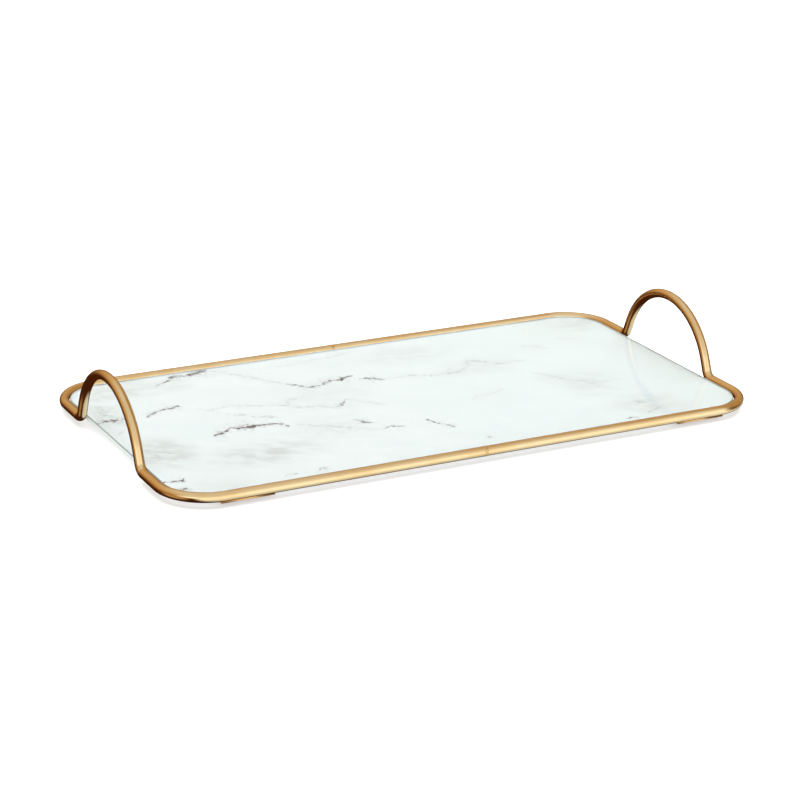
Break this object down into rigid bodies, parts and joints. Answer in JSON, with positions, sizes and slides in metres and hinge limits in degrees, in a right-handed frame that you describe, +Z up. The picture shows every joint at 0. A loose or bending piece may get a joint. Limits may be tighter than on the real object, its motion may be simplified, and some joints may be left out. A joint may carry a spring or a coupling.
{
  "type": "vanity tray",
  "caption": "Rectangular vanity tray: a marble-print glass panel held in a slim gold rod frame with rounded corners and an arched handle at each end.",
  "frame": {"origin": "on the table under the middle of the tray: the centre of the base of its box", "axes": "+X along the tray towards the right handle, +Y from the front rail to the rear rail, +Z up"},
  "size_m": [0.36, 0.1962, 0.046],
  "materials": {
    "gold_rod": "gold-plated steel rod, satin to bright",
    "gold_weld": "dressed weld under the same gold plating",
    "gold_tab": "gold-plated sheet steel",
    "clear_glass": "clear polished glass with ground edges",
    "marble_print": "white marble print with thin dark veins",
    "foam_tape": "white double-sided foam tape",
    "foot_rubber": "soft matt rubber"
  },
  "bodies": {
    "root": {"frame_rod_left": "gold_rod", "frame_rod_right": "gold_rod", "rail_weld_front": "gold_weld", "rail_weld_rear": "gold_weld", "glass_panel": "clear_glass", "marble_print": "marble_print", "support_tab_front_left": "gold_tab", "support_tab_front_right": "gold_tab", "support_tab_rear_left": "gold_tab", "support_tab_rear_right": "gold_tab", "tab_weld_front_left": "gold_weld", "tab_weld_front_right": "gold_weld", "tab_weld_rear_left": "gold_weld", "tab_weld_rear_right": "gold_weld", "foam_pad_front_left": "foam_tape", "foam_pad_front_right": "foam_tape", "foam_pad_rear_left": "foam_tape", "foam_pad_rear_right": "foam_tape", "rubber_foot_front_left": "foot_rubber", "rubber_foot_front_right": "foot_rubber", "rubber_foot_rear_left": "foot_rubber", "rubber_foot_rear_right": "foot_rubber"}
  },
  "joints": []
}
